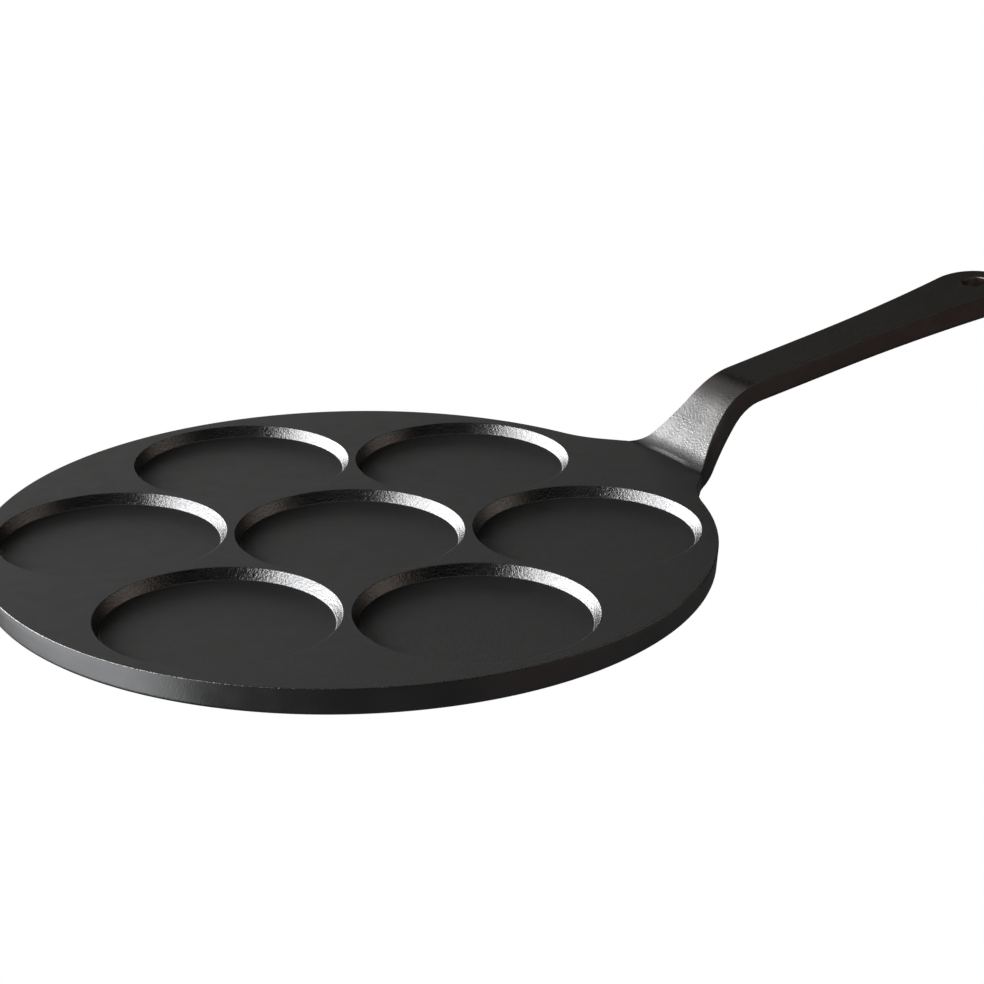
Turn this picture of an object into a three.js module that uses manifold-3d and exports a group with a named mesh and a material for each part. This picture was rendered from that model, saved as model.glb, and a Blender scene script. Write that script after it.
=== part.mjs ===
// Cast-iron plett pan: a flat round plate with seven shallow wells for small pancakes, and a handle that
// leaves the rim in a wide flare, climbs over a short neck and runs out as a grip with a hanging eye.
// Millimetres. The origin is the middle of the plate's underside, +X runs along the handle and +Z is up.

import * as THREE from 'three';
import { mergeVertices } from 'three/addons/utils/BufferGeometryUtils.js';
import Module from 'manifold-3d';

// Wells: one in the middle and a ring of others round it
const wellDiameter = 75.2; // at the top, where the wall would meet the plate's face without its lip
const wellDepth = 3.75;
const wellWallAngle = 28; // degrees away from upright
const wellLipRadius = 0.5;
const wellWeb = 2.6; // between two neighbouring wells
const outerWellCount = 6;

// Plate
const floorThickness = 5.25; // under the wells
const rimLand = 4.9; // between the outer wells and the rim
const rimDraft = 3; // degrees
const topEdgeRadius = 0.6;
const bottomEdgeRadius = 2;
const turnedOverrun = 9; // how far past the rim the plate's face is turned flat, up to the handle's foot

// Handle root and neck
const rootClearance = 0.3; // between the plate and the handle
const rootWidth = 69.4; // across the two places where the shoulders would leave the rim
const shoulderAngle = 46.4; // degrees between a shoulder and the handle's length
const rimFilletRadius = 40; // in plan, from the rim into a shoulder
const neckFilletRadius = 31; // in plan, from a shoulder into the neck's side
const neckFoot = 9.5; // from the rim to where the neck's slope would meet the plate's face
const neckSlope = 46; // degrees
const neckRise = 23.6; // from the plate's face to where the neck's slope would meet the grip's top
const neckFootRadius = 12;
const neckBendRadius = 30;
const heelOffset = 9.2; // from the neck's foot out to where the neck's underside would meet the base
const heelSlope = 55; // degrees
const heelRadius = 8;
const undersideBendRadius = 17;

// Grip
const handleLength = 161.7; // from the rim to the tip
const gripWidth = 19.6;
const gripThickness = 8.4; // where it leaves the neck
const gripTipThickness = 9.6;
const gripIncline = 9.1; // degrees
const gripSplayLength = 82; // the stretch before the tip where the grip grows wider
const gripEndFlare = 4.3; // by how much the round end's radius is more than half the grip's width
const eyeDiameter = 9;
const eyeWall = 5; // between the eye and the tip
const eyeLipRadius = 0.5;

// Finish of the seasoned iron
const plateColor = '#2b2a28';
const plateRoughness = 0.5;
const handleColor = '#262321';
const handleRoughness = 0.55;
const ironMetalness = 0.35;

// How finely the round forms are divided
const wellSegments = 56;
const rimSegments = 54; // along one side of the rim
const turningSegments = 180;
const eyeSegments = 32;
const lipSteps = 3;
const edgeSteps = 3;
const filletSteps = 6;
const bendSteps = 5;
const splaySteps = 8;
const tipSteps = 9;
const leastStep = 0.4; // two neighbouring stations along the handle are no closer
const overcut = 5; // how far a cutting form reaches past the solid
const weldDistance = 0.001; // points closer than this are one

const radians = THREE.MathUtils.degToRad;
const wellRadius = wellDiameter / 2;
const wellSpacing = wellDiameter + wellWeb;
const wellRingRadius = Math.max(wellSpacing, wellSpacing / (2 * Math.sin(Math.PI / outerWellCount)));
const plateRadius = wellRingRadius + wellRadius + rimLand;
const plateThickness = floorThickness + wellDepth;
const turnedRadius = plateRadius + turnedOverrun;
const gripHalfWidth = gripWidth / 2;
const gripEndRadius = gripHalfWidth + gripEndFlare;
const tipX = plateRadius + handleLength;

const wasm = await Module();
wasm.setup();

function solidOf(geometry) {
  const bare = geometry.clone();
  bare.deleteAttribute('normal');
  bare.deleteAttribute('uv');
  const merged = mergeVertices(bare, weldDistance);
  const vertProperties = new Float32Array(merged.attributes.position.array);
  const triVerts = new Uint32Array(merged.index.array);
  return new wasm.Manifold(new wasm.Mesh({ numProp: 3, vertProperties, triVerts }));
}

function geometryOf(solid) {
  const mesh = solid.getMesh();
  const geometry = new THREE.BufferGeometry();
  geometry.setAttribute('position', new THREE.BufferAttribute(mesh.vertProperties, 3));
  geometry.setIndex(new THREE.BufferAttribute(mesh.triVerts, 1));
  geometry.computeVertexNormals();
  return geometry;
}

// A turned form about the Z axis. The profile runs from the axis at the bottom to the axis at the top.
function turned(profile, segments) {
  const points = profile.map(([radius, height]) => new THREE.Vector2(radius, height));
  return new THREE.LatheGeometry(points, segments).rotateX(Math.PI / 2);
}

// Points on an arc from one angle to another, both ends included.
function arcPoints(centreX, centreY, radius, start, end, steps) {
  const points = [];
  for (let step = 0; step <= steps; step += 1) {
    const angle = start + ((end - start) * step) / steps;
    points.push([centreX + radius * Math.cos(angle), centreY + radius * Math.sin(angle)]);
  }
  return points;
}

// The height along a chain of straight runs. Each corner between two runs is rounded by its own radius.
function roundedProfile(start, corners, end) {
  const chain = [start, ...corners, end];
  const arcs = corners.map((corner, i) => {
    const before = Math.atan2(corner.z - chain[i].z, corner.x - chain[i].x);
    const after = Math.atan2(chain[i + 2].z - corner.z, chain[i + 2].x - corner.x);
    const upward = after > before ? 1 : -1;
    const reach = corner.radius * Math.tan(Math.abs(after - before) / 2);
    const from = corner.x - reach * Math.cos(before);
    const to = corner.x + reach * Math.cos(after);
    const centreX = from - upward * corner.radius * Math.sin(before);
    const centreZ = corner.z - reach * Math.sin(before) + upward * corner.radius * Math.cos(before);
    return { from, to, upward, centreX, centreZ, radius: corner.radius };
  });
  const height = (x) => {
    const arc = arcs.find((each) => x >= each.from && x <= each.to);
    if (arc) {
      return arc.centreZ - arc.upward * Math.sqrt(arc.radius ** 2 - (x - arc.centreX) ** 2);
    }
    const next = Math.max(1, chain.findIndex((point) => point.x >= x));
    const share = (x - chain[next - 1].x) / (chain[next].x - chain[next - 1].x);
    return chain[next - 1].z + share * (chain[next].z - chain[next - 1].z);
  };
  const stops = arcs.flatMap(({ from, to }) => evenStops(from, to, bendSteps));
  return { height, stops };
}

// The root in plan: a straight shoulder on each side, with a fillet into the rim and one into the neck.
const shoulder = radians(shoulderAngle);
const shoulderOut = new THREE.Vector2(Math.sin(shoulder), Math.cos(shoulder));
const shoulderAlong = new THREE.Vector2(Math.cos(shoulder), -Math.sin(shoulder));
const rootHalfWidth = rootWidth / 2;
const rootCorner = new THREE.Vector2(Math.sqrt(plateRadius ** 2 - rootHalfWidth ** 2), rootHalfWidth);
const shoulderEndX = rootCorner.x + (rootHalfWidth - gripHalfWidth) / Math.tan(shoulder);
const rimFilletOut = rootCorner.dot(shoulderOut) + rimFilletRadius;
const rimFilletAlong = Math.sqrt((plateRadius + rimFilletRadius) ** 2 - rimFilletOut ** 2);
const rimFilletCentre = new THREE.Vector2()
  .addScaledVector(shoulderOut, rimFilletOut)
  .addScaledVector(shoulderAlong, rimFilletAlong);
const rimFilletStart = rimFilletCentre.clone().setLength(plateRadius);
const rimFilletEnd = rimFilletCentre.clone().addScaledVector(shoulderOut, -rimFilletRadius);
const neckFilletCentre = new THREE.Vector2(
  shoulderEndX + neckFilletRadius * Math.tan(shoulder / 2),
  gripHalfWidth + neckFilletRadius,
);
const neckFilletStart = neckFilletCentre.clone().addScaledVector(shoulderOut, -neckFilletRadius);

// The splay in plan: an arc that leaves the grip's straight side and runs into the round end, both tangent.
const endCentreX = tipX - gripEndRadius;
const splayStartX = tipX - gripSplayLength;
const splayRun = endCentreX - splayStartX;
const splayRadius = (splayRun ** 2 + gripHalfWidth ** 2 - gripEndRadius ** 2) / (2 * gripEndFlare);
const splayCentre = new THREE.Vector2(splayStartX, gripHalfWidth + splayRadius);
const splayAngle = Math.atan2(splayCentre.y, -splayRun);
const splayEndX = endCentreX + gripEndRadius * Math.cos(splayAngle);

// The handle's two faces in side view.
const neckFootX = plateRadius + neckFoot;
const neckTopX = neckFootX + neckRise / Math.tan(radians(neckSlope));
const neckTopZ = plateThickness + neckRise;
const inclineRate = Math.tan(radians(gripIncline));
const heelRate = Math.tan(radians(heelSlope));
const heelX = neckFootX + heelOffset;
const gripTopZ = (x) => neckTopZ + (x - neckTopX) * inclineRate;
const gripGrowth = (gripTipThickness - gripThickness) / (tipX - neckTopX);
const gripUndersideZ = (x) => gripTopZ(x) - gripThickness - (x - neckTopX) * gripGrowth;
const undersideRate = inclineRate - gripGrowth;
const undersideBendX = (gripUndersideZ(0) + heelX * heelRate) / (heelRate - undersideRate);
const handleTop = roundedProfile(
  { x: 0, z: plateThickness },
  [
    { x: neckFootX, z: plateThickness, radius: neckFootRadius },
    { x: neckTopX, z: neckTopZ, radius: neckBendRadius },
  ],
  { x: tipX, z: gripTopZ(tipX) },
);
const handleUnderside = roundedProfile(
  { x: 0, z: 0 },
  [
    { x: heelX, z: 0, radius: heelRadius },
    { x: undersideBendX, z: gripUndersideZ(undersideBendX), radius: undersideBendRadius },
  ],
  { x: tipX, z: gripUndersideZ(tipX) },
);

// A station is a point on one side of a plan outline, with the direction that points into the solid.
const onRim = ([x, y]) => ({ x, y, inX: -x / plateRadius, inY: -y / plateRadius });

const onTip = ([x, y]) => ({ x, y, inX: (endCentreX - x) / gripEndRadius, inY: -y / gripEndRadius });

const onHollowArc = (centre, radius) => (x) => {
  const y = centre.y - Math.sqrt(radius ** 2 - (x - centre.x) ** 2);
  return { x, y, inX: (x - centre.x) / radius, inY: (y - centre.y) / radius };
};

const onShoulder = (x) => {
  const y = rimFilletEnd.y - (x - rimFilletEnd.x) * Math.tan(shoulder);
  return { x, y, inX: -shoulderOut.x, inY: -shoulderOut.y };
};

const onGripSide = (x) => ({ x, y: gripHalfWidth, inX: 0, inY: -1 });

// The handle's side from the rim to the round end, each stretch up to its own x.
const handleSide = [
  { to: rimFilletEnd.x, at: onHollowArc(rimFilletCentre, rimFilletRadius) },
  { to: neckFilletStart.x, at: onShoulder },
  { to: neckFilletCentre.x, at: onHollowArc(neckFilletCentre, neckFilletRadius) },
  { to: splayStartX, at: onGripSide },
  { to: splayEndX, at: onHollowArc(splayCentre, splayRadius) },
];

const onHandleSide = (x) => handleSide.find((stretch) => x <= stretch.to).at(x);

function evenStops(from, to, steps) {
  return Array.from({ length: steps + 1 }, (_, step) => from + ((to - from) * step) / steps);
}

function rootStops() {
  return [
    ...evenStops(rimFilletStart.x, rimFilletEnd.x, filletSteps),
    ...evenStops(neckFilletStart.x, neckFilletCentre.x, filletSteps),
  ];
}

function plateOutline() {
  const rimEnd = Math.atan2(rimFilletStart.y, rimFilletStart.x);
  const rim = arcPoints(0, 0, plateRadius, Math.PI, rimEnd, rimSegments).map(onRim);
  rim[0].y = 0;
  return [...rim, ...rootStops().slice(1).map(onHandleSide)];
}

function handleOutline() {
  const isAlongSide = (x) => x > rimFilletStart.x && x < splayStartX;
  const bends = [...handleTop.stops, ...handleUnderside.stops].filter(isAlongSide);
  const splay = evenStops(splayStartX, splayEndX, splaySteps).slice(0, -1);
  const stops = [...rootStops(), ...bends, ...splay].sort((a, b) => a - b);
  const spaced = stops.filter((x, i) => i === 0 || x - stops[i - 1] > leastStep);
  const tip = arcPoints(endCentreX, 0, gripEndRadius, splayAngle, 0, tipSteps).map(onTip);
  return [...spaced.map(onHandleSide), ...tip];
}

// The cast edge from the underside to the top: a rounded lower edge, a drafted side, a rounded upper edge.
function edgeLayers() {
  const turns = Array.from({ length: edgeSteps + 1 }, (_, step) => ((step / edgeSteps) * Math.PI) / 2);
  const lower = turns.map((turn) => ({
    low: true,
    inset: bottomEdgeRadius * (1 - Math.sin(turn)),
    lift: bottomEdgeRadius * (1 - Math.cos(turn)),
  }));
  const upper = turns.map((turn) => ({
    low: false,
    inset: topEdgeRadius * (1 - Math.cos(turn)),
    lift: topEdgeRadius * (Math.sin(turn) - 1),
  }));
  return [...lower, ...upper];
}

// A casting between an underside and a top whose heights go by x, with that edge all round its plan outline.
// The outline lists one side's stations along +X, and the other side mirrors them.
function casting(outline, underside, top) {
  const layers = edgeLayers();
  const draft = Math.tan(radians(rimDraft));
  const positions = [];
  const index = [];
  const addVertex = (x, y, z) => positions.push(x, y, z) / 3 - 1;
  const rows = layers.map((layer) => outline.map((station) => {
    const depth = top(station.x) - underside(station.x);
    const inset = layer.inset + (layer.low ? depth * draft : 0);
    const x = station.x + station.inX * inset;
    const y = station.y + station.inY * inset;
    const z = layer.lift + (layer.low ? underside(x) : top(x));
    const left = addVertex(x, y, z);
    const right = station.y > 0 ? addVertex(x, -y, z) : left;
    return { left, right };
  }));
  const addTriangle = (a, b, c) => {
    if (a !== b && b !== c && c !== a) {
      index.push(a, b, c);
    }
  };
  const rings = rows.map((row) => {
    const there = row.map(({ left }) => left);
    const back = row.map(({ right }) => right).reverse();
    return [...there, ...back];
  });
  for (let layer = 0; layer + 1 < rings.length; layer += 1) {
    const lower = rings[layer];
    const upper = rings[layer + 1];
    for (let i = 0; i < lower.length; i += 1) {
      const next = (i + 1) % lower.length;
      if (lower[i] !== lower[next]) {
        addTriangle(lower[i], upper[i], lower[next]);
        addTriangle(lower[next], upper[i], upper[next]);
      }
    }
  }
  const bottomRow = rows[0];
  const topRow = rows.at(-1);
  for (let i = 0; i + 1 < outline.length; i += 1) {
    addTriangle(bottomRow[i].left, bottomRow[i + 1].left, bottomRow[i].right);
    addTriangle(bottomRow[i].right, bottomRow[i + 1].left, bottomRow[i + 1].right);
    addTriangle(topRow[i].left, topRow[i].right, topRow[i + 1].left);
    addTriangle(topRow[i].right, topRow[i + 1].right, topRow[i + 1].left);
  }
  const geometry = new THREE.BufferGeometry();
  geometry.setAttribute('position', new THREE.Float32BufferAttribute(positions, 3));
  geometry.setIndex(index);
  return geometry;
}

// A hollow with a flat floor, a leaning wall and a rounded lip, with its mouth at the height 0.
function wellForm() {
  const lean = radians(wellWallAngle);
  const floorRadius = wellRadius - wellDepth * Math.tan(lean);
  const mouthRadius = wellRadius + wellLipRadius * Math.tan((Math.PI / 2 - lean) / 2);
  const lip = arcPoints(mouthRadius, -wellLipRadius, wellLipRadius, Math.PI - lean, Math.PI / 2, lipSteps);
  const floor = [[0, -wellDepth], [floorRadius, -wellDepth]];
  const mouth = [[mouthRadius, overcut], [0, overcut]];
  return turned([...floor, ...lip, ...mouth], wellSegments);
}

// The ring of wells is turned by half a step, so that the handle lies between two of them.
function wellCentres() {
  const ring = Array.from({ length: outerWellCount }, (_, i) => {
    const angle = (2 * Math.PI * (i + 0.5)) / outerWellCount;
    return [wellRingRadius * Math.cos(angle), wellRingRadius * Math.sin(angle)];
  });
  return [[0, 0], ...ring];
}

// The round stock that the plate's face is turned to, or the space that it leaves for the handle's root.
function turningForm(radius) {
  const high = neckTopZ + overcut;
  return turned([[0, -overcut], [radius, -overcut], [radius, high], [0, high]], turningSegments);
}

// The hanging eye, square to the grip's top, with a rounded lip at both faces.
function eyeForm() {
  const radius = eyeDiameter / 2;
  const eyeX = tipX - eyeWall - radius;
  const half = (gripTopZ(eyeX) - gripUndersideZ(eyeX)) / 2;
  const flared = radius + eyeLipRadius;
  const lower = arcPoints(flared, eyeLipRadius - half, eyeLipRadius, -Math.PI / 2, -Math.PI, lipSteps);
  const upper = arcPoints(flared, half - eyeLipRadius, eyeLipRadius, Math.PI, Math.PI / 2, lipSteps);
  const outside = half + overcut;
  const profile = [[0, -outside], [flared, -outside], ...lower, ...upper, [flared, outside], [0, outside]];
  return turned(profile, eyeSegments)
    .rotateY(-radians(gripIncline))
    .translate(eyeX, 0, gripTopZ(eyeX) - half);
}

function castIron(color, roughness) {
  return new THREE.MeshStandardMaterial({ color, roughness, metalness: ironMetalness });
}

function namedMesh(name, solid, material) {
  const mesh = new THREE.Mesh(geometryOf(solid), material);
  mesh.name = name;
  return mesh;
}

function griddlePlate() {
  const slab = solidOf(casting(plateOutline(), () => 0, () => plateThickness));
  const well = wellForm();
  let plate = slab.intersect(solidOf(turningForm(turnedRadius)));
  for (const [x, y] of wellCentres()) {
    plate = plate.subtract(solidOf(well.clone().translate(x, y, plateThickness)));
  }
  return namedMesh('griddle_plate', plate, castIron(plateColor, plateRoughness));
}

function handle() {
  const bar = solidOf(casting(handleOutline(), handleUnderside.height, handleTop.height));
  const rooted = bar.subtract(solidOf(turningForm(turnedRadius + rootClearance)));
  const pierced = rooted.subtract(solidOf(eyeForm()));
  return namedMesh('handle', pierced, castIron(handleColor, handleRoughness));
}

const plettPan = new THREE.Group();
plettPan.add(griddlePlate(), handle());

export default plettPan;
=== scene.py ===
"""The plett pan's looks: fine meshes of the cast plate and its handle, their seasoned iron, and a studio."""

import math
from collections import namedtuple
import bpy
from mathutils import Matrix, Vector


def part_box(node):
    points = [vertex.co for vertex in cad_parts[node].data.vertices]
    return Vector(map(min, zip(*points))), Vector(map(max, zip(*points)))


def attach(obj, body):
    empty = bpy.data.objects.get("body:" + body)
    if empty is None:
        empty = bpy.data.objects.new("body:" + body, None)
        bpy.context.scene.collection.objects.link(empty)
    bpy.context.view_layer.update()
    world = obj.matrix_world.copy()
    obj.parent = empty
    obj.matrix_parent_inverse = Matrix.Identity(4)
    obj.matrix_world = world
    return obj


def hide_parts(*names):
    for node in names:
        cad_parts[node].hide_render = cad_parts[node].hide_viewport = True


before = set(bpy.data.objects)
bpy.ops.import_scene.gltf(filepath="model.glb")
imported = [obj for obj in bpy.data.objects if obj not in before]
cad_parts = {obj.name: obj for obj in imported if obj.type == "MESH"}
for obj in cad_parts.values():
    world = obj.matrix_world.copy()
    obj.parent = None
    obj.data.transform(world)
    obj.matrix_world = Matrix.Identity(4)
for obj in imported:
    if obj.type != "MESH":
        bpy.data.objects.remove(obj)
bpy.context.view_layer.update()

from types import SimpleNamespace

import bmesh
import bpy
from mathutils import Vector

MM = 0.001

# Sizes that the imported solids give
PLATE_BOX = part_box("griddle_plate")
HANDLE_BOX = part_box("handle")
PLATE_RADIUS = -PLATE_BOX[0].x
PLATE_THICKNESS = PLATE_BOX[1].z
TURNED_RADIUS = PLATE_BOX[1].x
TIP_X = HANDLE_BOX[1].x

# Wells
WELL_RADIUS = 37.6 * MM
WELL_DEPTH = 3.75 * MM
WELL_LEAN = math.radians(28)
WELL_LIP_RADIUS = 0.25 * MM
WELL_FLOOR_FILLET = 0.5 * MM
WELL_RING_RADIUS = 77.8 * MM
OUTER_WELL_COUNT = 6

# Rim and the edges of the casting
EDGE_DRAFT = math.tan(math.radians(3))
TOP_EDGE_RADIUS = 0.4 * MM
BOTTOM_EDGE_RADIUS = 2.0 * MM

# Handle root and neck
ROOT_HALF_WIDTH = 34.7 * MM
SHOULDER_ANGLE = math.radians(46.4)
RIM_FILLET_RADIUS = 40 * MM
NECK_FILLET_RADIUS = 31 * MM
NECK_FOOT_X = PLATE_RADIUS + 9.5 * MM
NECK_SLOPE = math.radians(46)
NECK_RISE = 23.6 * MM
NECK_FOOT_RADIUS = 14 * MM
NECK_BEND_RADIUS = 30 * MM
HEEL_X = NECK_FOOT_X + 9.2 * MM
HEEL_SLOPE = math.radians(55)
HEEL_RADIUS = 8 * MM
UNDERSIDE_BEND_RADIUS = 17 * MM
LEDGE_HALF_WIDTH = 8 * MM       # the turned step at the neck's foot shows this far to each side
LEDGE_FADE = 6 * MM             # and runs out over this width
LEDGE_SHARE = 0.32              # the share of its height that is a crisp ledge in its middle
LEDGE_WIDTH = 1.6 * MM          # that share rises over this width
DRESSED_WIDTH = 12 * MM         # and the rest over this one

# Grip
GRIP_HALF_WIDTH = 9.8 * MM
GRIP_THICKNESS = 8.4 * MM
GRIP_TIP_THICKNESS = 9.6 * MM
GRIP_INCLINE = math.radians(9.1)
GRIP_SPLAY_LENGTH = 82 * MM
GRIP_END_RADIUS = 14.1 * MM
EYE_RADIUS = 4.5 * MM
EYE_X = TIP_X - 9.5 * MM
EYE_LIP_RADIUS = 0.5 * MM

# How finely the round forms are divided
SUPPORT = 0.25 * MM             # a narrow flat band beside each rounding keeps the flats flat
WELL_STEPS = 144
FLOOR_RINGS = (0.8, 0.55, 0.3, 0.1)  # on a well's floor, as shares of its radius
LIP_STEPS = 6
EDGE_STEPS = 6
SIDE_STEPS = 3
RIM_STEPS = 220
ROOT_STEPS = 28
NECK_STEPS = 52
NECK_CROWDING = 1.8             # the power by which the neck's steps crowd towards the turned step
GRIP_STEPS = 24
TIP_STEPS = 44
EYE_STEPS = 48
EYE_CLEAR_STEPS = 8             # the last steps of the splay, where the faces close round the eye
ACROSS_STEPS = 36
CROSSING_HALVINGS = 50          # how often the search for a crossing of the outline halves its span
SHARP_ANGLE = math.radians(35)  # edges that turn further than this are shaded sharp

# Camera, as the photograph was taken
CAMERA_PLACE = Vector((-351.7, -637.2, 299.0)) * MM
CAMERA_AIM = Vector((0.5029, 0.7876, -0.3561))
CAMERA_SENSOR = 36              # the sensor's width and the lens are in millimetres
CAMERA_LENS = 87.44


def smooth_share(value, low, high):
    """0 below low, 1 above high, with an easy rise between them."""
    share = min(1.0, max(0.0, (value - low) / (high - low)))
    return share * share * (3 - 2 * share)


def spread(first, last, steps):
    """Evenly spaced values from the first to the last, both included."""
    return [first + (last - first) * step / steps for step in range(steps + 1)]


# The pan in plan


class Outline:
    """A chain of arcs and straight runs. Each has a length, and gives a point and the way into the solid."""

    def __init__(self):
        self.runs = []
        self.marks = [0.0]

    def add(self, length, at):
        self.runs.append(at)
        self.marks.append(self.marks[-1] + length)

    def arc(self, centre, radius, start, end, solid_outside):
        def at(share):
            angle = start + (end - start) * share
            out = Vector((math.cos(angle), math.sin(angle)))
            return centre + out * radius, out if solid_outside else -out
        self.add(radius * abs(end - start), at)

    def line(self, first, last, inward):
        self.add((last - first).length, lambda share: (first.lerp(last, share), inward))

    def point(self, along, inset):
        """The point at a length along the outline, moved into the solid by the inset."""
        run = 0
        while run + 1 < len(self.runs) and along > self.marks[run + 1]:
            run += 1
        share = (along - self.marks[run]) / (self.marks[run + 1] - self.marks[run])
        place, inward = self.runs[run](min(1.0, max(0.0, share)))
        return place + inward * inset

    def crossing(self, inset, radius, low, high):
        """The length along the outline where it passes a circle about the plate's middle."""
        for _ in range(CROSSING_HALVINGS):
            middle = (low + high) / 2
            if self.point(middle, inset).length < radius:
                low = middle
            else:
                high = middle
        return (low + high) / 2


def angle_of(vector):
    return math.atan2(vector.y, vector.x)


def pan_outline():
    """The outline of one side, from the far rim to the handle's tip."""
    shoulder_out = Vector((math.sin(SHOULDER_ANGLE), math.cos(SHOULDER_ANGLE)))
    shoulder_along = Vector((math.cos(SHOULDER_ANGLE), -math.sin(SHOULDER_ANGLE)))
    root_corner = Vector((math.sqrt(PLATE_RADIUS ** 2 - ROOT_HALF_WIDTH ** 2), ROOT_HALF_WIDTH))
    fillet_out = root_corner.dot(shoulder_out) + RIM_FILLET_RADIUS
    fillet_along = math.sqrt((PLATE_RADIUS + RIM_FILLET_RADIUS) ** 2 - fillet_out ** 2)
    rim_fillet = shoulder_out * fillet_out + shoulder_along * fillet_along
    shoulder_end_x = root_corner.x + (ROOT_HALF_WIDTH - GRIP_HALF_WIDTH) / math.tan(SHOULDER_ANGLE)
    neck_fillet = Vector((
        shoulder_end_x + NECK_FILLET_RADIUS * math.tan(SHOULDER_ANGLE / 2),
        GRIP_HALF_WIDTH + NECK_FILLET_RADIUS,
    ))
    end_centre = Vector((TIP_X - GRIP_END_RADIUS, 0))
    splay_x = TIP_X - GRIP_SPLAY_LENGTH
    splay_run = end_centre.x - splay_x
    splay_radius = splay_run ** 2 + GRIP_HALF_WIDTH ** 2 - GRIP_END_RADIUS ** 2
    splay_radius /= 2 * (GRIP_END_RADIUS - GRIP_HALF_WIDTH)
    splay = Vector((splay_x, GRIP_HALF_WIDTH + splay_radius))

    outline = Outline()
    outline.arc(Vector((0, 0)), PLATE_RADIUS, math.pi, angle_of(rim_fillet), False)
    outline.arc(rim_fillet, RIM_FILLET_RADIUS, angle_of(-rim_fillet), angle_of(-shoulder_out), True)
    outline.line(
        rim_fillet - shoulder_out * RIM_FILLET_RADIUS,
        neck_fillet - shoulder_out * NECK_FILLET_RADIUS,
        -shoulder_out,
    )
    outline.arc(neck_fillet, NECK_FILLET_RADIUS, angle_of(-shoulder_out), -math.pi / 2, True)
    outline.line(
        Vector((neck_fillet.x, GRIP_HALF_WIDTH)),
        Vector((splay_x, GRIP_HALF_WIDTH)),
        Vector((0, -1)),
    )
    outline.arc(splay, splay_radius, -math.pi / 2, angle_of(end_centre - splay), True)
    outline.arc(end_centre, GRIP_END_RADIUS, angle_of(splay - end_centre), 0, False)
    return outline


# Where the outline's runs end, apart from the rim's fillet and the shoulder
OUTLINE = pan_outline()
RIM_END, _, _, NECK_END, SPLAY_START, SPLAY_END, TIP_END = OUTLINE.marks[1:]


def ledge_along(inset):
    """Where the outline, moved in by the inset, meets the turned step between plate and handle."""
    return OUTLINE.crossing(inset, TURNED_RADIUS, RIM_END, NECK_END)


# The handle's two faces in side view


def rounded_profile(start, corners, end):
    """The height along straight runs whose corners, each an x, a z and a radius, are rounded."""
    chain = [start, *[corner[:2] for corner in corners], end]
    arcs = []
    for i, (x, z, radius) in enumerate(corners):
        before = math.atan2(z - chain[i][1], x - chain[i][0])
        after = math.atan2(chain[i + 2][1] - z, chain[i + 2][0] - x)
        upward = 1 if after > before else -1
        reach = radius * math.tan(abs(after - before) / 2)
        first = x - reach * math.cos(before)
        last = x + reach * math.cos(after)
        centre_x = first - upward * radius * math.sin(before)
        centre_z = z - reach * math.sin(before) + upward * radius * math.cos(before)
        arcs.append((first, last, upward, radius, centre_x, centre_z))

    def height(x):
        for first, last, upward, radius, centre_x, centre_z in arcs:
            if first <= x <= last:
                return centre_z - upward * math.sqrt(radius ** 2 - (x - centre_x) ** 2)
        run = 0
        while run + 2 < len(chain) and x > chain[run + 1][0]:
            run += 1
        (x0, z0), (x1, z1) = chain[run], chain[run + 1]
        return z0 + (z1 - z0) * (x - x0) / (x1 - x0)

    return height


NECK_TOP_X = NECK_FOOT_X + NECK_RISE / math.tan(NECK_SLOPE)
NECK_TOP_Z = PLATE_THICKNESS + NECK_RISE
INCLINE_RATE = math.tan(GRIP_INCLINE)
GRIP_GROWTH = (GRIP_TIP_THICKNESS - GRIP_THICKNESS) / (TIP_X - NECK_TOP_X)


def grip_top(x):
    return NECK_TOP_Z + (x - NECK_TOP_X) * INCLINE_RATE


def grip_underside(x):
    return grip_top(x) - GRIP_THICKNESS - (x - NECK_TOP_X) * GRIP_GROWTH


HEEL_RATE = math.tan(HEEL_SLOPE)
UNDERSIDE_BEND_X = (grip_underside(0) + HEEL_X * HEEL_RATE) / (HEEL_RATE - INCLINE_RATE + GRIP_GROWTH)
neck_profile = rounded_profile(
    (0, PLATE_THICKNESS),
    [
        (NECK_FOOT_X, PLATE_THICKNESS, NECK_FOOT_RADIUS),
        (NECK_TOP_X, NECK_TOP_Z, NECK_BEND_RADIUS),
    ],
    (TIP_X, grip_top(TIP_X)),
)
handle_underside = rounded_profile(
    (0, 0),
    [
        (HEEL_X, 0, HEEL_RADIUS),
        (UNDERSIDE_BEND_X, grip_underside(UNDERSIDE_BEND_X), UNDERSIDE_BEND_RADIUS),
    ],
    (TIP_X, grip_underside(TIP_X)),
)


def handle_top(x, y):
    """The height of the handle's top. Its foot starts level with the plate's face and climbs softly."""
    brink_x = math.sqrt(TURNED_RADIUS ** 2 - y ** 2)
    step = neck_profile(brink_x) - PLATE_THICKNESS
    share = LEDGE_SHARE * (1 - smooth_share(abs(y), LEDGE_HALF_WIDTH, LEDGE_HALF_WIDTH + LEDGE_FADE))
    lost = share * (1 - smooth_share(x, brink_x, brink_x + LEDGE_WIDTH))
    lost += (1 - share) * (1 - smooth_share(x, brink_x, brink_x + DRESSED_WIDTH))
    return neck_profile(x) - step * lost


# Meshes


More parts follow.
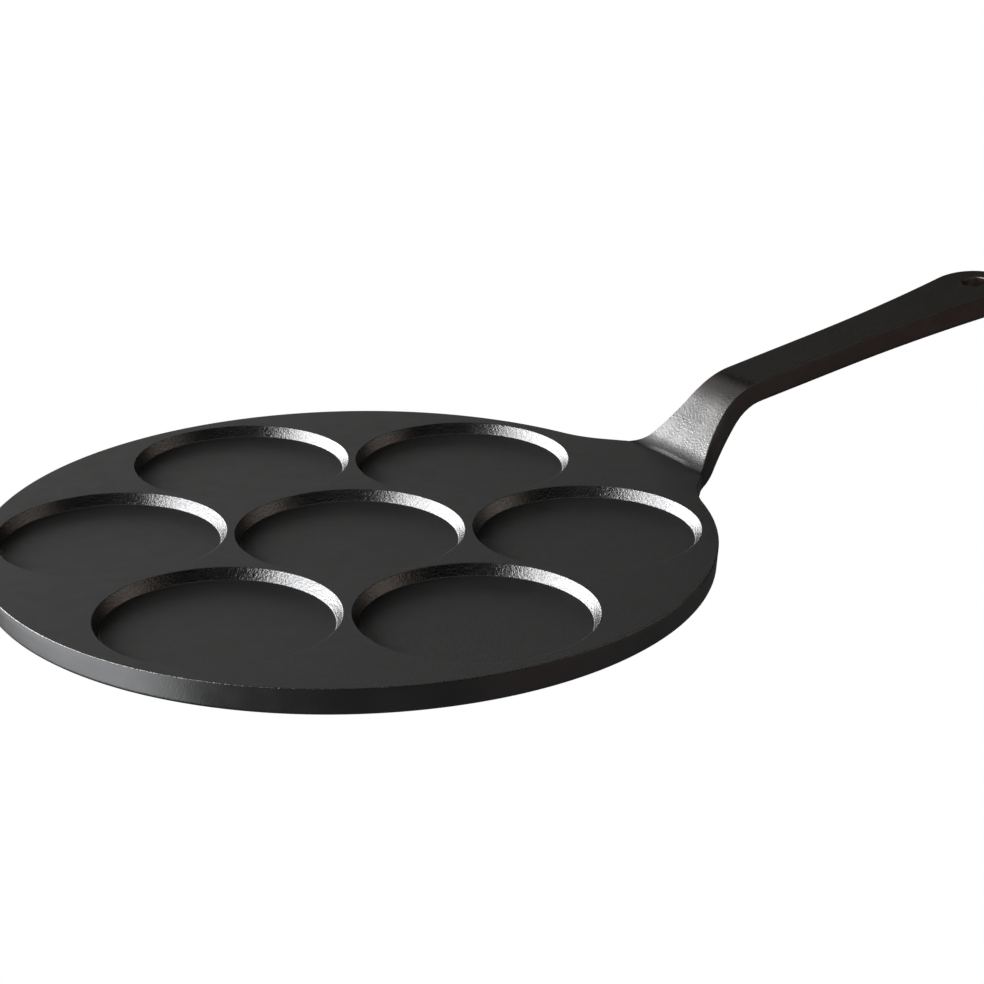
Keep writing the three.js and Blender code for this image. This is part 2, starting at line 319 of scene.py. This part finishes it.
class Grid:
    """A mesh in the making, with its points and faces."""

    def __init__(self):
        self.mesh = bmesh.new()
        self.worn = self.mesh.verts.layers.float.new("worn")

    def vert(self, x, y, z, worn=0.0):
        """A point, with how far the iron's skin is rubbed there, from 0 to 1."""
        made = self.mesh.verts.new((x, y, z))
        made[self.worn] = worn
        return made

    def face(self, *corners):
        self.mesh.faces.new(corners)

    def strip(self, first, second, closed=False):
        """Quads between two rows of points."""
        count = len(first)
        for i in range(count if closed else count - 1):
            j = (i + 1) % count
            self.face(first[i], first[j], second[j], second[i])

    def edges(self, loop):
        """The edges round a closed loop of points, made where they are missing."""
        pairs = zip(loop, loop[1:] + loop[:1])
        return [self.mesh.edges.get(pair) or self.mesh.edges.new(pair) for pair in pairs]

    def fill(self, *loops):
        """Triangles between closed loops of points, the later ones holes in the first."""
        edges = [edge for loop in loops for edge in self.edges(loop)]
        bmesh.ops.triangle_fill(self.mesh, use_beauty=True, edges=edges, normal=(0, 0, 1))

    def piece(self, name, material):
        """The finished piece, shaded smooth apart from its sharp edges."""
        bmesh.ops.recalc_face_normals(self.mesh, faces=self.mesh.faces)
        mesh = bpy.data.meshes.new(name)
        self.mesh.to_mesh(mesh)
        self.mesh.free()
        mesh.shade_smooth()
        mesh.set_sharp_from_angle(angle=SHARP_ANGLE)
        mesh.materials.append(material)
        made = bpy.data.objects.new(name, mesh)
        bpy.context.scene.collection.objects.link(made)
        return made


# One row of points along the cast edge: its share of the side's height, its inset and its lift from that
# face in radii of the edge, how far it lies in on the flat face, and how far it is rubbed
Layer = namedtuple("Layer", "share inset lift flat wear")


def edge_layers():
    """The rows of the cast edge from underside to top."""
    turns = spread(0, math.pi / 2, EDGE_STEPS)
    lower = [Layer(0, 1 - math.sin(turn), 1 - math.cos(turn), 0, math.sin(2 * turn)) for turn in turns]
    side = [Layer(step / SIDE_STEPS, 0, 0, 0, 0) for step in range(1, SIDE_STEPS)]
    upper = [Layer(1, 1 - math.cos(turn), math.sin(turn) - 1, 0, math.sin(2 * turn)) for turn in turns]
    return [Layer(0, 1, 0, SUPPORT, 0), *lower, *side, *upper, Layer(1, 1, 0, SUPPORT, 0)]


LAYERS = edge_layers()


def edge_inset(layer, depth):
    """How far a layer lies inside the outline, on a side of the given depth."""
    radius = BOTTOM_EDGE_RADIUS if layer.share == 0 else TOP_EDGE_RADIUS
    return layer.inset * radius + layer.flat + (1 - layer.share) * depth * EDGE_DRAFT


def edge_point(along, layer, underside, top):
    """A point of the cast edge at a length along the outline."""
    outer = OUTLINE.point(along, 0)
    depth = top(outer.x, outer.y) - underside(outer.x)
    place = OUTLINE.point(along, edge_inset(layer, depth))
    low = underside(place.x) + BOTTOM_EDGE_RADIUS * (layer.lift if layer.share == 0 else 1)
    high = top(place.x, place.y) + TOP_EDGE_RADIUS * (layer.lift if layer.share == 1 else -1)
    return Vector((place.x, place.y, low + (high - low) * layer.share))


def turned_arc(corner, steps):
    """Points on the circle of the turned step, from a corner on one side to its mirror image."""
    reach = angle_of(corner)
    return [Vector((math.cos(a), math.sin(a))) * TURNED_RADIUS for a in spread(reach, -reach, steps)]


def well_profile():
    """Rows of a well from its mouth to its floor, as radius and height from the plate's face."""
    mouth = WELL_RADIUS + WELL_LIP_RADIUS * math.tan((math.pi / 2 - WELL_LEAN) / 2)
    foot = WELL_RADIUS - WELL_DEPTH * math.tan(WELL_LEAN)
    inner = foot - WELL_FLOOR_FILLET * math.tan((math.pi / 2 - WELL_LEAN) / 2)
    rows = [(mouth + SUPPORT, 0)]
    for turn in spread(math.pi / 2, math.pi - WELL_LEAN, LIP_STEPS):
        rows.append((mouth + WELL_LIP_RADIUS * math.cos(turn), WELL_LIP_RADIUS * (math.sin(turn) - 1)))
    for turn in spread(-WELL_LEAN, -math.pi / 2, LIP_STEPS):
        height = WELL_FLOOR_FILLET * (1 + math.sin(turn)) - WELL_DEPTH
        rows.append((inner + WELL_FLOOR_FILLET * math.cos(turn), height))
    rows.append((inner - SUPPORT, -WELL_DEPTH))
    rows.extend((inner * share, -WELL_DEPTH) for share in FLOOR_RINGS)
    return rows


def well_centres():
    """The middle of each well: one in the plate's middle, ringed by the others."""
    turn = 2 * math.pi / OUTER_WELL_COUNT
    angles = [turn * (i + 0.5) for i in range(OUTER_WELL_COUNT)]
    return [Vector((0, 0)), *[Vector((math.cos(a), math.sin(a))) * WELL_RING_RADIUS for a in angles]]


def add_well(grid, centre):
    """A well's wall and floor. Gives back the loop on the plate's face around it."""
    rows = []
    for radius, height in well_profile():
        rows.append([
            grid.vert(
                centre.x + radius * math.cos(angle),
                centre.y + radius * math.sin(angle),
                PLATE_THICKNESS + height,
            )
            for angle in [2 * math.pi * step / WELL_STEPS for step in range(WELL_STEPS)]
        ])
    for first, second in zip(rows, rows[1:]):
        grid.strip(first, second, closed=True)
    grid.face(*rows[-1])
    return rows[0]


def griddle_plate(material):
    """The plate with its rim, its wells and the part of the handle's root that is turned with it."""
    grid = Grid()
    columns = spread(0, RIM_END, RIM_STEPS)
    rows = []
    for layer in LAYERS:
        last = ledge_along(edge_inset(layer, PLATE_THICKNESS))
        stops = columns + spread(RIM_END, last, ROOT_STEPS)[1:]
        half = [edge_point(along, layer, lambda x: 0, lambda x, y: PLATE_THICKNESS) for along in stops]
        left = [grid.vert(*point, layer.wear) for point in half]
        right = [grid.vert(point.x, -point.y, point.z, layer.wear) for point in half[1:]]
        rows.append(right[::-1] + left)
    for first, second in zip(rows, rows[1:]):
        grid.strip(first, second)

    def end_arc(row):
        """The row that closes a face along the turned step."""
        arc = turned_arc(row[-1].co, ACROSS_STEPS)[1:-1]
        return [row[-1], *[grid.vert(point.x, point.y, row[-1].co.z) for point in arc], row[0]]

    low, high = end_arc(rows[0]), end_arc(rows[-1])
    grid.strip(low, high)
    grid.face(*[row[-1] for row in rows])
    grid.face(*[row[0] for row in rows])
    grid.fill(rows[0] + low[1:-1])
    wells = [add_well(grid, centre) for centre in well_centres()]
    grid.fill(rows[-1] + high[1:-1], *wells)
    return grid.piece("cast_griddle_plate", material)


def handle_stops(inset):
    """Lengths along the outline, moved in by the inset, from the turned step to the tip."""
    first = ledge_along(inset)
    shares = [(step / NECK_STEPS) ** NECK_CROWDING for step in range(NECK_STEPS)]
    neck = [first + (NECK_END - first) * share for share in shares]
    grip = spread(NECK_END, SPLAY_START, GRIP_STEPS)[:-1]
    splay = spread(SPLAY_START, SPLAY_END, GRIP_STEPS)[:-1]
    return neck + grip + splay + spread(SPLAY_END, TIP_END, TIP_STEPS)


CROSS_ROWS = NECK_STEPS + 2 * GRIP_STEPS - EYE_CLEAR_STEPS


def across(grid, row, station, height):
    """Points between a station's edge point and its mirror image, bowed near the turned step."""
    left = row[station].co
    bow = 1 - smooth_share(station, 0, NECK_STEPS)
    reach = math.hypot(left.x, left.y)
    points = []
    for y in spread(left.y, -left.y, ACROSS_STEPS)[1:-1]:
        x = left.x + bow * (math.sqrt(reach ** 2 - y ** 2) - left.x)
        points.append(grid.vert(x, y, height(x, y)))
    return points


def add_eye(grid):
    """The hanging eye, square to the grip's top. Gives back its loops on the top and on the underside."""
    axis = Vector((-math.sin(GRIP_INCLINE), 0, math.cos(GRIP_INCLINE)))
    length_way = Vector((math.cos(GRIP_INCLINE), 0, math.sin(GRIP_INCLINE)))
    middle = Vector((EYE_X, 0, (grip_top(EYE_X) + grip_underside(EYE_X)) / 2))
    flared = EYE_RADIUS + EYE_LIP_RADIUS
    turns = spread(math.pi / 2, math.pi, LIP_STEPS)
    lip = [(flared + EYE_LIP_RADIUS * math.cos(t), EYE_LIP_RADIUS * (1 - math.sin(t))) for t in turns]
    upper = [(flared + SUPPORT, 0), *lip]

    def ring(radius, depth, face, sign):
        points = []
        for step in range(EYE_STEPS):
            angle = 2 * math.pi * step / EYE_STEPS
            crosswise = Vector((0, radius * math.sin(angle), 0))
            start = middle + length_way * radius * math.cos(angle) + crosswise
            rate = (face(start.x + MM) - face(start.x)) / MM
            reach = (face(start.x) - start.z) / (axis.z - rate * axis.x)
            points.append(grid.vert(*(start + axis * (reach - sign * depth))))
        return points

    rows = [ring(radius, depth, grip_top, 1) for radius, depth in upper]
    rows += [ring(radius, depth, grip_underside, -1) for radius, depth in reversed(upper)]
    for first, second in zip(rows, rows[1:]):
        grid.strip(first, second, closed=True)
    return rows[0], rows[-1]


def handle(material):
    """The rest of the root, the neck and the grip with its hanging eye."""
    grid = Grid()
    left_rows, right_rows = [], []
    for layer in LAYERS:
        stops = handle_stops(edge_inset(layer, PLATE_THICKNESS))
        points = [edge_point(along, layer, handle_underside, handle_top) for along in stops]
        left = [grid.vert(*point) for point in points]
        right = [grid.vert(point.x, -point.y, point.z) for point in points[:-1]] + [left[-1]]
        left_rows.append(left)
        right_rows.append(right)
    for rows in (left_rows, right_rows):
        for first, second in zip(rows, rows[1:]):
            grid.strip(first, second)

    def cross_rows(left, right, height):
        """Rows across a face, from the turned step to the eye."""
        return [[left[i], *across(grid, left, i, height), right[i]] for i in range(CROSS_ROWS)]

    under = cross_rows(left_rows[0], right_rows[0], lambda x, y: handle_underside(x))
    over = cross_rows(left_rows[-1], right_rows[-1], handle_top)
    for rows in (under, over):
        for first, second in zip(rows, rows[1:]):
            grid.strip(first, second)
    grid.strip(under[0], over[0])
    for rows in (left_rows, right_rows):
        grid.face(*[row[0] for row in rows])
    eye_top, eye_underside = add_eye(grid)
    for cross, left, right, eye in (
        (over[-1], left_rows[-1], right_rows[-1], eye_top),
        (under[-1], left_rows[0], right_rows[0], eye_underside),
    ):
        loop = cross + right[CROSS_ROWS:] + left[CROSS_ROWS:-1][::-1]
        grid.fill(loop, eye)
    return grid.piece("cast_handle", material)


# Finishes


class Field:
    """A value over a surface. Arithmetic on fields and numbers adds the Math nodes that work it out."""

    def __init__(self, nodes, socket):
        self.nodes = nodes
        self.socket = socket

    def math(self, operation, *terms):
        return self.nodes.add("ShaderNodeMath", {"operation": operation}, dict(enumerate(terms)))

    def __add__(self, other):
        return self.math("ADD", self, other)

    def __radd__(self, other):
        return self.math("ADD", other, self)

    def __sub__(self, other):
        return self.math("SUBTRACT", self, other)

    def __rsub__(self, other):
        return self.math("SUBTRACT", other, self)

    def __mul__(self, other):
        return self.math("MULTIPLY", self, other)

    def __rmul__(self, other):
        return self.math("MULTIPLY", other, self)

    def __abs__(self):
        return self.math("ABSOLUTE", self)


class Nodes:
    """The node tree of a material or of the world."""

    def __init__(self, owner):
        owner.use_nodes = True
        self.tree = owner.node_tree

    def add(self, kind, settings, inputs, output=0):
        """Adds a node, makes its settings, then sets or links its sockets. Gives back one output."""
        made = self.tree.nodes.new(kind)
        for name, value in settings.items():
            setattr(made, name, value)
        for name, value in inputs.items():
            self.feed(made.inputs[name], value)
        return Field(self, made.outputs[output])

    def feed(self, socket, value):
        """Links a field to a socket, or sets a number, colour or vector on it."""
        if isinstance(value, Field):
            self.tree.links.new(value.socket, socket)
        else:
            socket.default_value = value

    def ease(self, value, low, high):
        """A smooth rise from 0 at low to 1 at high."""
        smooth = {"interpolation_type": "SMOOTHSTEP"}
        return self.add("ShaderNodeMapRange", smooth, {"Value": value, "From Min": low, "From Max": high})

    def blend(self, share, first, second):
        """The first colour where the share is 0, the second where it is 1."""
        # A Mix node numbers its colours 6 and 7 and their blend 2, after the sockets of other kinds
        inputs = {0: share, 6: first, 7: second}
        return self.add("ShaderNodeMix", {"data_type": "RGBA"}, inputs, output=2)

    def noise(self, place, size, detail=2.0, roughness=0.5):
        """Noise from 0 to 1 with lumps of about the given size."""
        inputs = {"Vector": place, "Scale": 1 / size, "Detail": detail, "Roughness": roughness}
        return self.add("ShaderNodeTexNoise", {}, inputs)

    def parts(self, vector):
        """The x, y and z of a vector."""
        return [self.add("ShaderNodeSeparateXYZ", {}, {"Vector": vector}, output=i) for i in range(3)]

    def vector(self, x, y, z):
        return self.add("ShaderNodeCombineXYZ", {}, {"X": x, "Y": y, "Z": z})

    def tinted(self, color, share):
        """A colour times a share of it."""
        return self.add("ShaderNodeVectorMath", {"operation": "SCALE"}, {0: color, "Scale": share})

    def length(self, vector):
        return self.add("ShaderNodeVectorMath", {"operation": "LENGTH"}, {0: vector}, output=1)

    def dot(self, first, second):
        inputs = {0: first, 1: second}
        return self.add("ShaderNodeVectorMath", {"operation": "DOT_PRODUCT"}, inputs, output=1)


# Seasoned iron, split as painted light by which way the surface faces: the faces that lie flat are matt and
# nearly black as painted shade, and the rest has a dark sheen of metal that lights up as a painted sheen.
# Heights of its skin are in millimetres

# Colours of the flat faces, kept nearly black as painted shade
BLACK_IRON = (0.0012, 0.0012, 0.0011, 1)
GREY_IRON = (0.003, 0.0029, 0.0027, 1)
BROWN_IRON = (0.006, 0.003, 0.0006, 1)
PIT_IRON = (0.0005, 0.0005, 0.0004, 1)
PLATE_WARMTH = 0.5              # how brown the plate is, as a share of the grip
FACE_ROUGHNESS = 0.62

# Tints of the painted sheen on slopes and sides, apart from each finish's own
BROWN_SKIN = (0.306, 0.257, 0.238, 1)
RUBBED_SKIN = (0.45, 0.446, 0.44, 1)
RUBBED_SHARE = 0.35             # the most of it that rubbed edges take on
SKIN_MOTTLE = 0.2               # how far the clouds vary the sheen, as a share
# Painted shade: the sheen on slopes is darkened by the slope mask, in step with their grain
SLOPE_SHADE = 1.5               # how much darker slopes are for each millimetre of their grain, as a share
SLOPE_GLOSS = 0.6               # and how much smoother
OIL_FILM = 0.2                  # the most that the uneven film of oil covers
OIL_ROUGHNESS = 0.3

# Where the surface is flat, slopes, has the painted sheen and stands upright, by the upward part of its
# normal.
# Each starts at the first value and is full at the second
FLAT_RISE = (0.95, 0.99)
SLOPE_RISE = (0.2, 0.4)
# painted sheen: metal on everything that does not face straight up, flat tops left dark as painted shade
PAINTED_SHEEN_RISE = (0.97, 0.8)
UPRIGHT_RISE = (0.3, 0.1)

# Clouds, smudges and wear, from noise. Each starts at the first value and is full at the second
NOISE_MIDDLE = 0.5
CLOUD_DETAIL = 3                # of the noise behind clouds and smudges
MOTTLE_SIZE = 28 * MM
MOTTLE_RISE = (0.3, 0.7)
SMUDGE_SIZE = 9 * MM
SMUDGE_RISE = (0.35, 0.65)
WEAR_SIZE = 2.5 * MM
WEAR_RISE = (0.55, 1.15)

# The brown of the handle
WARM_START_X = 130 * MM         # the iron turns browner from here
WARM_END_X = 180 * MM           # to here
BROWN_LEAST = 0.5               # the share of the brown that is there between the smudges

# What the clouds, smudges, grain and pits add to the roughness
MOTTLE_DULLING = 0.04
SMUDGE_DULLING = 0.06
GRAIN_DULLING = 0.1
PIT_DULLING = 0.15
FLAT_CLOUDS = 0.8               # the share of the clouds and smudges that dulls the flat faces too

# Relief
GRAIN_SIZE = 0.75 * MM
GRAIN_DETAIL = 2.5
GRAIN_HARSHNESS = 0.6
FLAT_GRAIN = 1.6                # the grain's height on flat faces, as a share of that on the sides
EDGE_GRAIN = 2.5                # what the plate's edges add to it, as the same share
PEEL_SIZE = 4 * MM
PEEL_HEIGHT = 0.02
PIT_SPACING = 6 * MM
PIT_RISE = (0.06, 0.02)         # a pit's brink and bottom, as shares of the spacing
PIT_CHANCE = (0.5, 0.6)         # about half the places have a pit
STREAK_WIDTH = 0.5 * MM
STREAK_LENGTH = 12 * MM
RING_WIDTH = 0.8 * MM
RING_END_DEPTH = 0.4 * MM       # the turned rings end this far under the plate's face
RING_FULL_DEPTH = 0.2 * MM      # and are full this far under it


def iron_pits(nodes, place):
    """1 in the small pits that sand leaves in a casting, 0 between them."""
    inputs = {"Vector": place, "Scale": 1 / PIT_SPACING}
    distance = nodes.add("ShaderNodeTexVoronoi", {}, inputs, output="Distance")
    chance = nodes.add("ShaderNodeTexVoronoi", {}, inputs, output="Color")
    red = nodes.add("ShaderNodeSeparateColor", {}, {"Color": chance})
    return nodes.ease(distance, *PIT_RISE) * nodes.ease(red, *PIT_CHANCE)


def iron_surface(nodes):
    """Where a spot of the iron lies, how it is turned, clouded, pitted, rubbed and browned, and its painted
    sheen.
    """
    place = nodes.add("ShaderNodeTexCoord", {}, {}, output="Object")
    normal = nodes.add("ShaderNodeNewGeometry", {}, {}, output="Normal")
    upward = nodes.parts(normal)[2]
    flat = nodes.ease(upward, *FLAT_RISE)
    worn = nodes.add("ShaderNodeAttribute", {"attribute_name": "worn"}, {}, output="Fac")
    patches = nodes.noise(place, WEAR_SIZE) - NOISE_MIDDLE
    return SimpleNamespace(
        place=place,
        upward=upward,
        flat=flat,
        sloping=nodes.ease(upward, *SLOPE_RISE) - flat,
        # painted light: metal sheen where the surface does not face up, flat tops left dark
        painted_sheen=nodes.ease(upward, *PAINTED_SHEEN_RISE),
        grain=nodes.noise(place, GRAIN_SIZE, GRAIN_DETAIL, GRAIN_HARSHNESS),
        mottle=nodes.ease(nodes.noise(place, MOTTLE_SIZE, CLOUD_DETAIL), *MOTTLE_RISE),
        smudge=nodes.ease(nodes.noise(place, SMUDGE_SIZE, CLOUD_DETAIL), *SMUDGE_RISE),
        pits=iron_pits(nodes, place) * flat,
        worn=worn,
        rubbed=nodes.ease(worn + patches, *WEAR_RISE),
        warm=nodes.ease(nodes.parts(place)[0], WARM_START_X, WARM_END_X),
    )


def rim_streaks(nodes, iron):
    """The height of the upright marks that the fettling of the rim leaves."""
    x, y, z = nodes.parts(iron.place)
    around = x.math("ARCTAN2", y, x) * (PLATE_RADIUS / STREAK_WIDTH)
    streaks = nodes.noise(nodes.vector(around, z * (1 / STREAK_LENGTH), 0), 1)
    return streaks * nodes.ease(abs(iron.upward), *UPRIGHT_RISE)


def turned_rings(nodes, iron):
    """The height of the fine rings that the turning of the plate's face leaves."""
    x, y, z = nodes.parts(iron.place)
    radius = nodes.length(nodes.vector(x, y, 0))
    rings = nodes.noise(nodes.vector(radius * (1 / RING_WIDTH), 0, 0), 1)
    level = nodes.ease(z, PLATE_THICKNESS - RING_END_DEPTH, PLATE_THICKNESS - RING_FULL_DEPTH)
    return rings * iron.flat * level


# What differs between the plate's iron and the handle's: the tint of the painted sheen, the height of the
# grain, what slopes have beyond it, the roughness of the sides, the gloss of the flat faces, the tint of
# that gloss and of the sheen at low angles, and the marks of work, each with its height
Finish = namedtuple("Finish", "skin grain slope_grain side_roughness face_gloss gloss_tint marks")
PLATE_FINISH = Finish(
    skin=(0.3, 0.3, 0.3),
    grain=0.04,
    slope_grain=0.15,
    side_roughness=0.33,
    face_gloss=1.0,
    gloss_tint=(1, 1, 1, 1),
    marks=[(rim_streaks, 0.007), (turned_rings, 0.002)],
)
HANDLE_FINISH = Finish(
    skin=(0.35, 0.348, 0.343),
    grain=0.05,
    slope_grain=0.06,
    side_roughness=0.34,
    face_gloss=0.9,
    gloss_tint=(0.4, 0.4, 0.4, 1),
    marks=[],
)


def iron_color(nodes, finish, iron):
    """Black and grey clouds with pits on the flat faces, metal elsewhere, all browner along the handle.
    The split is painted light: flat tops nearly black as painted shade, slopes and sides a lighter metal
    sheen.
    """
    brown = BROWN_LEAST + (1 - BROWN_LEAST) * iron.smudge
    warmth = PLATE_WARMTH + (1 - PLATE_WARMTH) * iron.warm
    face = nodes.blend(iron.mottle, BLACK_IRON, GREY_IRON)
    face = nodes.blend(warmth * brown, face, BROWN_IRON)
    face = nodes.blend(iron.pits, face, PIT_IRON)
    # Painted shade: the metal tint is darker where the surface slopes
    shade = SLOPE_SHADE * finish.slope_grain * iron.sloping
    skin = nodes.tinted(finish.skin, 1 - SKIN_MOTTLE / 2 + SKIN_MOTTLE * iron.mottle - shade)
    skin = nodes.blend(iron.warm * brown, skin, BROWN_SKIN)
    skin = nodes.blend(RUBBED_SHARE * iron.rubbed, skin, RUBBED_SKIN)
    # Painted light: flat tops take the dark face colour, everything else takes the lighter metal tint
    return nodes.blend(iron.painted_sheen, face, skin)


def iron_roughness(finish, iron):
    """Duller on the flat faces and in pits, smoother on slopes, and uneven with clouds and grain."""
    roughness = finish.side_roughness + (FACE_ROUGHNESS - finish.side_roughness) * iron.flat
    roughness = roughness - SLOPE_GLOSS * finish.slope_grain * iron.sloping
    clouds = MOTTLE_DULLING * (iron.mottle - NOISE_MIDDLE) + SMUDGE_DULLING * (iron.smudge - NOISE_MIDDLE)
    roughness = roughness + clouds * (1 - (1 - FLAT_CLOUDS) * iron.flat)
    return roughness + GRAIN_DULLING * (iron.grain - NOISE_MIDDLE) + PIT_DULLING * iron.pits


def iron_relief(nodes, finish, iron):
    """The normal over the sand's grain, a slow swell and the marks of work."""
    coarse = finish.grain * (1 + (FLAT_GRAIN - 1) * iron.flat + EDGE_GRAIN * iron.worn)
    coarse = coarse + finish.slope_grain * iron.sloping
    height = coarse * iron.grain + PEEL_HEIGHT * nodes.noise(iron.place, PEEL_SIZE)
    for mark, mark_height in finish.marks:
        height = height + mark_height * mark(nodes, iron)
    return nodes.add("ShaderNodeBump", {}, {"Strength": 1, "Distance": MM, "Height": height})


def cast_iron(name, finish):
    """Seasoned sand-cast iron with a finish of its own, its metal sheen painted by which way the surface
    faces.
    """
    material = bpy.data.materials.new(name)
    nodes = Nodes(material)
    iron = iron_surface(nodes)
    shader = nodes.tree.nodes["Principled BSDF"]
    nodes.feed(shader.inputs["Base Color"], iron_color(nodes, finish, iron))
    # Metallic follows the painted sheen: flat tops matt and dark, all else metal
    nodes.feed(shader.inputs["Metallic"], iron.painted_sheen)
    nodes.feed(shader.inputs["Specular IOR Level"], finish.face_gloss)
    nodes.feed(shader.inputs["Specular Tint"], finish.gloss_tint)
    nodes.feed(shader.inputs["Roughness"], iron_roughness(finish, iron))
    nodes.feed(shader.inputs["Normal"], iron_relief(nodes, finish, iron))
    nodes.feed(shader.inputs["Coat Weight"], OIL_FILM * iron.smudge * iron.painted_sheen)
    nodes.feed(shader.inputs["Coat Roughness"], OIL_ROUGHNESS)
    return material


plate = griddle_plate(cast_iron("plate_iron", PLATE_FINISH))
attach(plate, "root")
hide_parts("griddle_plate")

grip = handle(cast_iron("handle_iron", HANDLE_FINISH))
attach(grip, "root")
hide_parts("handle")


# Studio. Light from below and above grows between two upward parts of the way towards it, and the stage is
# measured in metres
BOUNCE_LIGHT = 0.04
BOUNCE_RISE = (0.1, -0.3)
CEILING_LIGHT = 0.12
CEILING_RISE = (0.6, 0.85)
STAGE_LIGHT = 1.0
STAGE_RADIUS = 4.0
STAGE_BEND = 1.5
STAGE_HEIGHT = 4.0
STAGE_GAP = 0.2 * MM            # the floor lies this far under the pan, so that they never share a plane
STAGE_STEPS = 96
STAGE_BEND_STEPS = 12
STAGE_FLOOR_RINGS = (0.05, 0.5)  # on the floor, as shares of its flat part


def soft_box(nodes, toward, turn, lift, lean, half_width, half_height, blur, light):
    """The light from a soft box far off, with a blurred edge. Its turn is from +X, all angles in degrees."""
    turn, lift, lean = math.radians(turn), math.radians(lift), math.radians(lean)
    axis = Vector((math.cos(lift) * math.cos(turn), math.cos(lift) * math.sin(turn), math.sin(lift)))
    level = Vector((-math.sin(turn), math.cos(turn), 0))
    upright = axis.cross(level)
    side = level * math.cos(lean) + upright * math.sin(lean)
    rise = upright * math.cos(lean) - level * math.sin(lean)
    onward = nodes.dot(toward, axis)
    sideways = onward.math("ARCTAN2", nodes.dot(toward, side), onward)
    high = onward.math("ARCSINE", nodes.dot(toward, rise))
    inside = 1
    for angle, half in ((sideways, half_width), (high, half_height)):
        inside = inside * nodes.ease(abs(angle), math.radians(half + blur), math.radians(half - blur))
    return nodes.tinted(light, inside)


def studio_light():
    """Dark surroundings with soft boxes. As the camera sees it, a bright strip and a wide panel stand on
    the left, a low box at the back and a warm fill on the right, and the table in front glows faintly."""
    world = bpy.data.worlds.new("studio")
    nodes = Nodes(world)
    toward = nodes.add("ShaderNodeTexCoord", {}, {}, output="Generated")
    strip = soft_box(
        nodes, toward, turn=133, lift=22.5, lean=20,
        half_width=51, half_height=8, blur=3, light=(5.7, 5.7, 5.8),
    )
    panel = soft_box(
        nodes, toward, turn=139, lift=-1.5, lean=-27,
        half_width=51, half_height=33, blur=9, light=(0.8, 0.81, 0.83),
    )
    back = soft_box(
        nodes, toward, turn=100, lift=15, lean=3.5,
        half_width=47, half_height=5, blur=6, light=(1.9, 1.9, 1.86),
    )
    fill = soft_box(
        nodes, toward, turn=-25, lift=10, lean=-22,
        half_width=22, half_height=16, blur=12, light=(0.42, 0.36, 0.32),
    )
    table = soft_box(
        nodes, toward, turn=-62, lift=-22, lean=0,
        half_width=14, half_height=12, blur=10, light=(0.03, 0.01, 0.008),
    )
    upward = nodes.parts(toward)[2]
    bounce = nodes.tinted((BOUNCE_LIGHT,) * 3, nodes.ease(upward, *BOUNCE_RISE))
    ceiling = nodes.tinted((CEILING_LIGHT,) * 3, nodes.ease(upward, *CEILING_RISE))
    light = strip
    for other in (panel, back, fill, table, bounce, ceiling):
        light = nodes.add("ShaderNodeVectorMath", {"operation": "ADD"}, {0: light, 1: other})
    nodes.feed(nodes.tree.nodes["Background"].inputs["Color"], light)
    return world


def stage_white():
    """Even white, lit by itself, seen from the inside of the sweep only."""
    material = bpy.data.materials.new("stage_white")
    nodes = Nodes(material)
    glow = nodes.add("ShaderNodeEmission", {}, {"Strength": STAGE_LIGHT})
    clear = nodes.add("ShaderNodeBsdfTransparent", {}, {})
    outside = nodes.add("ShaderNodeNewGeometry", {}, {}, output="Backfacing")
    surface = nodes.add("ShaderNodeMixShader", {}, {0: outside, 1: glow, 2: clear})
    nodes.feed(nodes.tree.nodes["Material Output"].inputs["Surface"], surface)
    return material


def stage_sweep():
    """A round floor that curves up into a wall under a lid. It shows behind the pan and not in its sheen."""
    mesh = bmesh.new()
    flat = STAGE_RADIUS - STAGE_BEND
    profile = [(flat * share, -STAGE_GAP) for share in STAGE_FLOOR_RINGS]
    for turn in spread(0, math.pi / 2, STAGE_BEND_STEPS):
        height = STAGE_BEND * (1 - math.cos(turn)) - STAGE_GAP
        profile.append((flat + STAGE_BEND * math.sin(turn), height))
    profile.append((STAGE_RADIUS, STAGE_HEIGHT))
    turns = [2 * math.pi * step / STAGE_STEPS for step in range(STAGE_STEPS)]
    rows = []
    for radius, height in profile:
        rows.append([mesh.verts.new((radius * math.cos(t), radius * math.sin(t), height)) for t in turns])
    mesh.faces.new(rows[0])
    mesh.faces.new(rows[-1][::-1])
    for first, second in zip(rows, rows[1:]):
        for i in range(STAGE_STEPS):
            j = (i + 1) % STAGE_STEPS
            mesh.faces.new((first[j], first[i], second[i], second[j]))
    data = bpy.data.meshes.new("stage_sweep")
    mesh.to_mesh(data)
    mesh.free()
    data.materials.append(stage_white())
    made = bpy.data.objects.new("stage_sweep", data)
    made.visible_diffuse = False
    made.visible_glossy = False
    made.visible_transmission = False
    made.visible_shadow = False
    bpy.context.scene.collection.objects.link(made)
    return made


def camera():
    made = bpy.data.objects.new("camera", bpy.data.cameras.new("camera"))
    made.location = CAMERA_PLACE
    made.rotation_mode = "QUATERNION"
    made.rotation_quaternion = CAMERA_AIM.to_track_quat("-Z", "Y")
    made.data.sensor_width = CAMERA_SENSOR
    made.data.lens = CAMERA_LENS
    bpy.context.scene.collection.objects.link(made)
    return made


stage_sweep()
bpy.context.scene.world = studio_light()
bpy.context.scene.camera = camera()
bpy.context.scene.view_settings.view_transform = "Standard"
